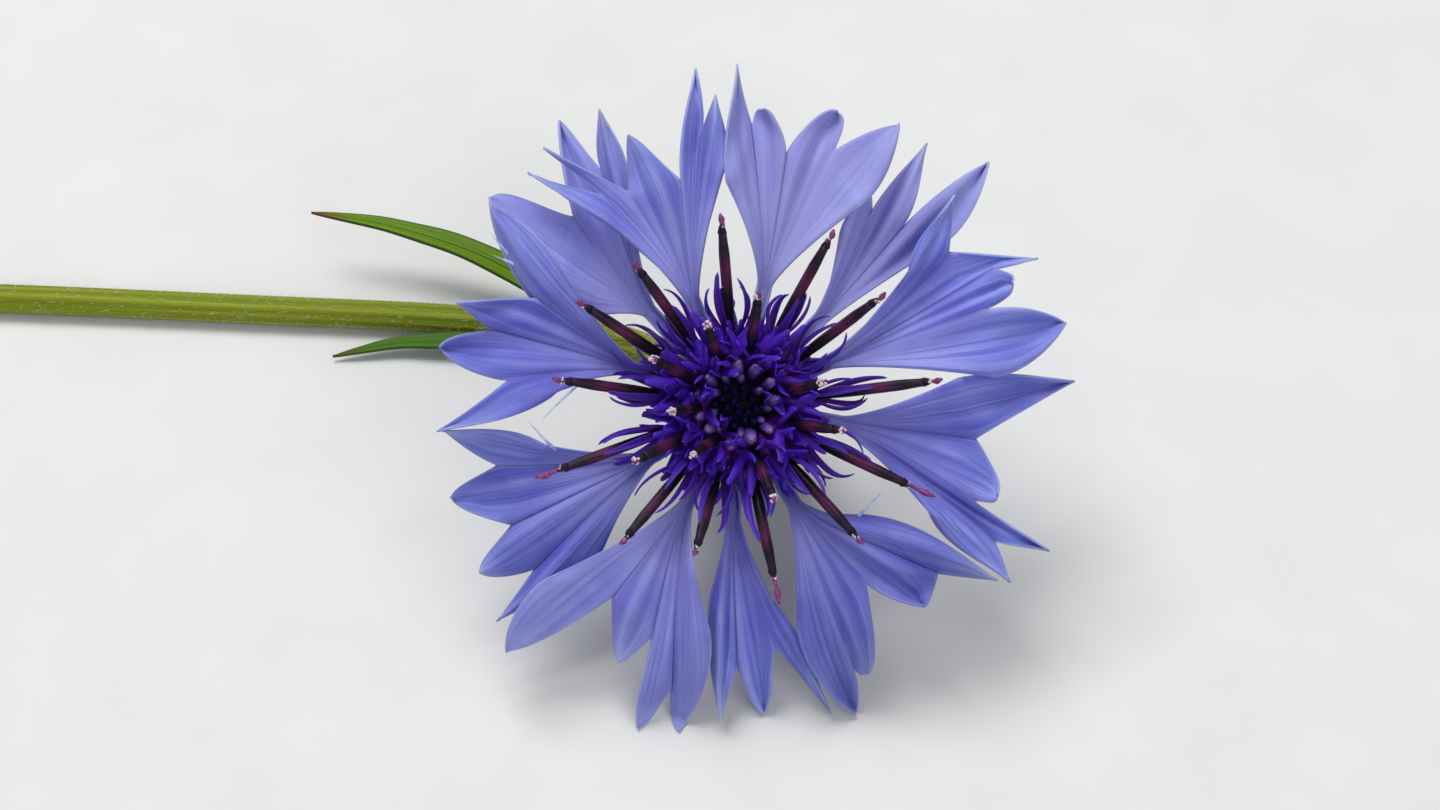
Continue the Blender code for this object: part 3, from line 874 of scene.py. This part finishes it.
def bract(bm, low, high, bearing, width, random):
    """One bract pressed to the cup, with a dark fringe of teeth along its free edge."""
    tilt = random.uniform(-2, 2)

    def place(across, along):
        offset = (across - 0.5) * 2
        half = width * (0.75 + 0.25 * smooth(0, 0.3, along)) * sqrt(max(1 - along ** 3.2, 0.001))
        out = 0.12 + 0.30 * smooth(0.0, 1.0, along) - 0.10 * offset * offset
        return cup_point(low + (high - low) * along, bearing + offset * half + tilt * along, out)

    shaped_grid(bm, 8, 12, place)
    teeth = 9
    for side in (0, 1):
        for number in range(teeth):
            along = 0.42 + 0.56 * number / (teeth - 1)
            edge = place(side, along)
            inward = place(0.5 + (side - 0.5) * 0.7, along)
            ahead = place(side, min(along + 0.04, 1.0)) - place(side, along - 0.04)
            out = (edge - inward).normalized() * 0.30 + ahead.normalized() * 0.22
            out += edge.xy.normalized().to_3d() * 0.06
            wide = ahead.normalized() * 0.09

            def tooth(across, up, edge=edge, out=out, wide=wide):
                return edge + out * (up - 0.25) + wide * (across - 0.5) * 2 * (1 - up * 0.9)

            shaped_grid(bm, 1, 2, tooth, 1)


def build_bracts(surfaces):
    """Five overlapping rows of bracts, the lowest the smallest."""
    random = Random(11)
    bm = bmesh.new()
    rows = ((0.02, 0.34, 7, 21), (0.14, 0.52, 9, 19), (0.30, 0.70, 11, 16), (0.46, 0.86, 12, 14),
            (0.62, 0.995, 13, 12))
    for number, (low, high, count, width) in enumerate(reversed(rows)):
        for place in range(count):
            bract(bm, low, high, (place + 0.5 * (number % 2)) * 360 / count, width, random)
    made = finish_mesh(bm, "bracts", surfaces, HEAD, merge=0.0005)
    add_wall(made, BRACT_WALL * MM)
    return made


def stem_radius(along):
    """The stem is a little thicker where it meets the cup and at its cut end."""
    return 1.0 + 0.2 * (1 - smooth(0.0, 0.03, along)) + 0.04 * smooth(0.3, 1.0, along)


def stem_line():
    """The stem's middle line, from the cup to the cut end."""
    return [through(STEM_LINE, step / STEM_STEPS) for step in range(STEM_STEPS + 1)]


def build_stem(surfaces):
    """A ribbed stem with a cut end that shows its pale pith."""
    line = stem_line()
    line[0] = line[0] + (line[0] - line[1]).normalized() * 0.35
    bm = bmesh.new()
    rod(bm, line, stem_radius, 40, flutes=STEM_RIBS, flute_depth=RIB_DEPTH)
    ring = stations(line)[-1]
    end_radius = stem_radius(1.0)

    def cut_face(across, along):
        turn = across * 2 * pi
        reach = end_radius * (1 - along)
        ribbed = 1 + RIB_DEPTH * cos(STEM_RIBS * turn)
        hollow = ring[1] * -0.25 * smooth(0.35, 1.0, along)
        return ring[0] + (ring[2] * cos(turn) + ring[3] * sin(turn)) * reach * ribbed + hollow

    shaped_grid(bm, 40, 8, cut_face, 1)
    return finish_mesh(bm, "stem_skin", surfaces, GROUND, merge=0.004)


def build_leaf(name, line, half_width, shade, sizes, surface):
    """A narrow leaf, grooved along its midrib, with slightly uneven edges."""
    rings = stations([through(line, step / LEAF_STEPS) for step in range(LEAF_STEPS + 1)])
    bm = bmesh.new()

    def place(across, along):
        offset = (across - 0.5) * 2
        point, ahead = rings[round(along * LEAF_STEPS)][:2]
        square = ahead.cross(Vector((0, 0, 1))).normalized()
        up = square.cross(ahead)
        width = half_width * (0.35 + 0.65 * sin(pi * min(along * 1.2, 0.5))) * (1 - along ** 3)
        width *= 1 + 0.03 * sin(31 * along + 2 * across)
        lift = 0.30 * abs(offset) ** 1.3 - 0.10 * max(0.0, 1 - abs(offset) * 5)
        lift *= min(width / half_width, 1.0)
        found = point + square * offset * max(width, 0.02) + up * lift
        # Where a leaf reaches the surface it lies on it.
        found.z = max(found.z, LEAF_CLEARANCE)
        return found

    shaped_grid(bm, 12, LEAF_STEPS, place)
    made = finish_mesh(bm, name, [surface], GROUND, merge=0.002)
    add_shade(made, shade)
    add_wall(made, sizes.leaf_wall)
    return made


def add_hair(bm, root, out, length, radius):
    """One fine hair: a slim three-sided cone."""
    cone = bmesh.ops.create_cone(bm, cap_ends=False, segments=3, radius1=radius, radius2=0.0,
                                 depth=length)
    turn = Vector((0, 0, 1)).rotation_difference(out).to_matrix()
    bmesh.ops.rotate(bm, verts=cone["verts"], cent=(0, 0, 0), matrix=turn)
    bmesh.ops.translate(bm, verts=cone["verts"], vec=root + out * length / 2)


def build_stem_hairs(sizes, surface):
    """The pale cobweb felt of the stem."""
    random = Random(23)
    bm = bmesh.new()
    rings = stations(stem_line())
    for _ in range(sizes.hair_count):
        number = random.randrange(2, STEM_STEPS)
        point, ahead, side, up = rings[number]
        turn = random.uniform(0, 2 * pi)
        out = side * cos(turn) + up * sin(turn)
        root = point + out * stem_radius(number / STEM_STEPS) * 0.97
        lean = (out + ahead * random.uniform(-2.2, 2.2)).normalized()
        length = random.uniform(0.3, 0.9)
        # A hair that would go through the surface isn't there.
        if root.z + lean.z * length < HAIR_CLEARANCE:
            continue
        add_hair(bm, root, lean, length, HAIR_RADIUS)
    return finish_mesh(bm, "stem_hairs", [surface], GROUND, merge=0.00001)


# ---------------------------------------------------------------- settings, operators and panel

def span(name, description, default_mm, least_mm):
    """A length that the panel shows, given here in millimetres."""
    return FloatProperty(name=name, description=description, default=default_mm * MM,
                         min=least_mm * MM, unit="LENGTH", subtype="DISTANCE")


def tint(name, description, hex_colour):
    """A colour that the panel shows."""
    return FloatVectorProperty(name=name, description=description, subtype="COLOR",
                               default=linear(hex_colour), min=0, max=1)


class CornflowerSizes(bpy.types.PropertyGroup):
    petal_wall: span("Petal wall", "Thickness of a ray floret's sheet", 0.14, 0.05)
    pleat: FloatProperty(
        name="Pleat", description="Depth of a ray lobe's pleat as a share of its width",
        default=0.10, min=0.0, max=0.5, subtype="FACTOR")
    column_radius: span("Anther column", "Radius of the column of joined anthers", 0.30, 0.1)
    corolla_lobe: span("Corolla lobe", "Length of the outer disc florets' lobes", 5.4, 1.0)
    leaf_wall: span("Leaf wall", "Thickness of a leaf", 0.22, 0.1)
    lobe_steps: IntProperty(
        name="Lobe steps", description="Faces across one lobe of a ray floret", default=12, min=6)
    floret_steps: IntProperty(
        name="Floret steps", description="Faces along a ray floret", default=50, min=25)
    hair_count: IntProperty(
        name="Stem hairs", description="How many fine hairs the stem has", default=4200, min=0)


class CornflowerColours(bpy.types.PropertyGroup):
    petal: tint("Ray petal", "Middle of a ray floret's blade", "#5c64c4")
    petal_tip: tint("Ray tip", "Tips of the ray florets' lobes", "#6c7ccc")
    # This colour also paints the shade along the lines between a ray floret's lobes.
    vein_and_crease_shade: tint("Veins", "Fine lines along the ray petals", "#3c389c")
    disc: tint("Disc petal", "Lobes of the disc florets", "#5022dc")
    disc_tube: tint("Disc tube", "Tubes of the disc florets", "#72187a")
    # The wine-red band of the anther columns, partly their own colour and partly painted sheen.
    anther: tint("Anthers", "The anther columns", "#641d50")
    # Partly the buds' own dark blue and partly painted shade of the deep-set middle.
    bud: tint("Dark buds", "The closed buds in the middle", "#120e48")
    stem: tint("Stem", "The stem's skin", "#788414")
    leaf: tint("Leaf", "The leaves' blades", "#6a8e06")


class CORNFLOWER_OT_rays(bpy.types.Operator):
    """Build the fringed ray florets and the torn threads on their rims"""
    bl_idname = "cornflower.rays"
    bl_label = "Ray florets"

    def execute(self, context):
        sizes = context.scene.cornflower_sizes
        surface = ray_petal_material(context.scene.cornflower_colours)
        for number, outline in enumerate(RAY_FLORETS, 1):
            node = f"ray_floret_{number:02d}"
            made = build_ray_floret(f"fringed_ray_{number:02d}", outline, sizes, surface, number)
            settle(made, "ray_petal", node)
        # Torn petal: the petal's own blue, paler where it is thin.
        thread = speckled_material("Torn petal thread", "#8c94d4", "#c4cced", 0.4, Roughness=0.6)
        settle(build_rim_threads(sizes, thread), "ray_petal")
        return {"FINISHED"}


class CORNFLOWER_OT_disc(bpy.types.Operator):
    """Build the disc florets with their anthers, pollen and styles"""
    bl_idname = "cornflower.disc"
    bl_label = "Disc florets"

    def execute(self, context):
        sizes = context.scene.cornflower_sizes
        colours = context.scene.cornflower_colours
        # Pollen is powdery and pale mauve. The style is a smooth wine red.
        surfaces = [
            disc_petal_material(colours), anther_material(colours),
            speckled_material("Pollen", "#a888a0", "#ecdcdc", 0.12, Roughness=0.9),
            speckled_material("Style", "#581848", "#8c4080", 0.25, Roughness=0.55),
        ]
        for kind, florets, share in (("outer", OUTER_DISC, 0.48), ("inner", INNER_DISC, 0.5)):
            for number, floret in enumerate(florets, 1):
                outer = kind == "outer"
                made = build_disc_floret(f"{kind}_disc_floret_{number:02d}", floret, outer, share,
                                         sizes, surfaces, 100 + number + 50 * (not outer))
                settle(made, "disc_petal", f"disc_{kind}_{number:02d}")
        settle(build_young_florets(surfaces[0]), "disc_petal")
        return {"FINISHED"}


class CORNFLOWER_OT_buds(bpy.types.Operator):
    """Build the closed buds in the middle of the face and the floor they stand in"""
    bl_idname = "cornflower.buds"
    bl_label = "Closed buds"

    def execute(self, context):
        surface = bud_material(context.scene.cornflower_colours)
        settle(build_dark_buds(surface), "closed_buds", "disc_buds")
        settle(build_rosy_buds(surface), "closed_buds")
        # The floor between the florets' feet is a matt purple black, painted shade of the deep gaps
        # between them.
        floor = speckled_material("Receptacle", "#0c0520", "#2a1040", 0.3, Roughness=0.8)
        settle(build_receptacle(floor), "closed_buds")
        return {"FINISHED"}


class CORNFLOWER_OT_cup(bpy.types.Operator):
    """Build the bract cup with its overlapping bracts"""
    bl_idname = "cornflower.cup"
    bl_label = "Bract cup"

    def execute(self, context):
        # Leathery olive skin, and the papery brown teeth of the fringe.
        skin = green_material("Bract skin", linear("#6c7a34"), "#98a05a", "#465a22", 6.0, 0.15,
                              Roughness=0.6)
        fringe = speckled_material("Bract fringe", "#2a1712", "#6b4a36", 0.3, Roughness=0.8)
        settle(build_cup(skin), "bract_skin", "bract_cup")
        settle(build_bracts([skin, fringe]), "bract_skin")
        return {"FINISHED"}


class CORNFLOWER_OT_stem(bpy.types.Operator):
    """Build the ribbed stem, its cut end and its fine hairs"""
    bl_idname = "cornflower.stem"
    bl_label = "Stem"

    def execute(self, context):
        sizes = context.scene.cornflower_sizes
        # Matt yellow-green skin, the pale moist pith of the cut, and silvery felt.
        skin = green_material("Stem skin", tuple(context.scene.cornflower_colours.stem),
                              "#a5ac4c", "#616c16", 16.0, 0.12, Roughness=0.7,
                              Specular_IOR_Level=0.2)
        pith = speckled_material("Cut pith", "#a9ad72", "#dcdcb4", 0.3, Roughness=0.8)
        wool = speckled_material("Stem wool", "#b9bfa0", "#e4e6d8", 0.5, Roughness=0.9)
        settle(build_stem([skin, pith]), "stem_skin", "stem")
        settle(build_stem_hairs(sizes, wool), "stem_skin")
        return {"FINISHED"}


class CORNFLOWER_OT_leaves(bpy.types.Operator):
    """Build the two narrow leaves"""
    bl_idname = "cornflower.leaves"
    bl_label = "Leaves"

    def execute(self, context):
        sizes = context.scene.cornflower_sizes
        surface = leaf_material(context.scene.cornflower_colours)
        for node, (line, half_width, shade) in LEAVES.items():
            made = build_leaf(f"{node}_blade", line, half_width, shade, sizes, surface)
            settle(made, "leaf_blade", node)
        return {"FINISHED"}


class CORNFLOWER_OT_stage(bpy.types.Operator):
    """Set the pale floor, the soft lights and the camera that looks into the face"""
    bl_idname = "cornflower.stage"
    bl_label = "Floor, lights and camera"

    CAMERA_DISTANCE = 155.0
    CAMERA_ASIDE = -1.1
    SKY_STRENGTH = 0.36
    # Each light's place from the middle of the face, its size and its power, in metres and watts.
    LIGHTS = (("key", (-0.16, 0.22, 0.62), 0.36, 3.75), ("fill", (0.3, -0.5, 0.5), 0.6, 2.0))

    def execute(self, context):
        scene = context.scene
        bm = bmesh.new()
        bmesh.ops.create_grid(bm, x_segments=1, y_segments=1, size=1.5)
        # Pale matt paper with a faint mottle.
        paper = speckled_material("Pale paper", "#d9d9d7", "#dcdcda", 8.0, Roughness=0.95)
        # The floor is a hair lower than the surface, so that nothing flickers where they touch.
        floor = finish_mesh(bm, "floor", [paper], Matrix.Translation((0, 0, -0.05 * MM)))
        world = bpy.data.worlds.new("Soft sky")
        world.use_nodes = True
        background = world.node_tree.nodes["Background"]
        background.inputs["Color"].default_value = rgba("#eef1f6")
        background.inputs["Strength"].default_value = self.SKY_STRENGTH
        scene.world = world
        for name, place, size, power in self.LIGHTS:
            light = bpy.data.lights.new(name, "AREA")
            light.size = size
            light.energy = power
            lamp = bpy.data.objects.new(name, light)
            lamp.location = HEAD_MIDDLE + Vector(place)
            lamp.rotation_euler = (-Vector(place)).to_track_quat("-Z", "Y").to_euler()
            scene.collection.objects.link(lamp)
        camera = bpy.data.cameras.new("camera")
        camera.lens = 60.0
        camera.sensor_width = 36.0
        camera.clip_start = 0.01
        eye = bpy.data.objects.new("camera", camera)
        eye.location = HEAD @ Vector((self.CAMERA_ASIDE, 0, self.CAMERA_DISTANCE))
        eye.rotation_euler = (radians(HEAD_LEAN), 0, 0)
        scene.collection.objects.link(eye)
        scene.camera = eye
        scene.view_settings.view_transform = "Standard"
        return {"FINISHED"}


class CORNFLOWER_PT_panel(bpy.types.Panel):
    """Lists the cornflower's settings and its pieces"""
    bl_label = "Cornflower"
    bl_idname = "CORNFLOWER_PT_panel"
    bl_space_type = "VIEW_3D"
    bl_region_type = "UI"
    bl_category = "Cornflower"

    def draw(self, context):
        for settings in (context.scene.cornflower_sizes, context.scene.cornflower_colours):
            for name in settings.__annotations__:
                self.layout.prop(settings, name)
        for operator in OPERATORS:
            self.layout.operator(operator.bl_idname)


OPERATORS = (CORNFLOWER_OT_stage, CORNFLOWER_OT_rays, CORNFLOWER_OT_disc, CORNFLOWER_OT_buds,
             CORNFLOWER_OT_cup, CORNFLOWER_OT_stem, CORNFLOWER_OT_leaves)
CLASSES = (CornflowerSizes, CornflowerColours, *OPERATORS, CORNFLOWER_PT_panel)


def register():
    for one in CLASSES:
        bpy.utils.register_class(one)
    bpy.types.Scene.cornflower_sizes = PointerProperty(type=CornflowerSizes)
    bpy.types.Scene.cornflower_colours = PointerProperty(type=CornflowerColours)


def unregister():
    del bpy.types.Scene.cornflower_colours
    del bpy.types.Scene.cornflower_sizes
    for one in reversed(CLASSES):
        bpy.utils.unregister_class(one)


def main():
    register()
    for operator in OPERATORS:
        group, name = operator.bl_idname.split(".")
        getattr(getattr(bpy.ops, group), name)()


if __name__ == "__main__":
    main()
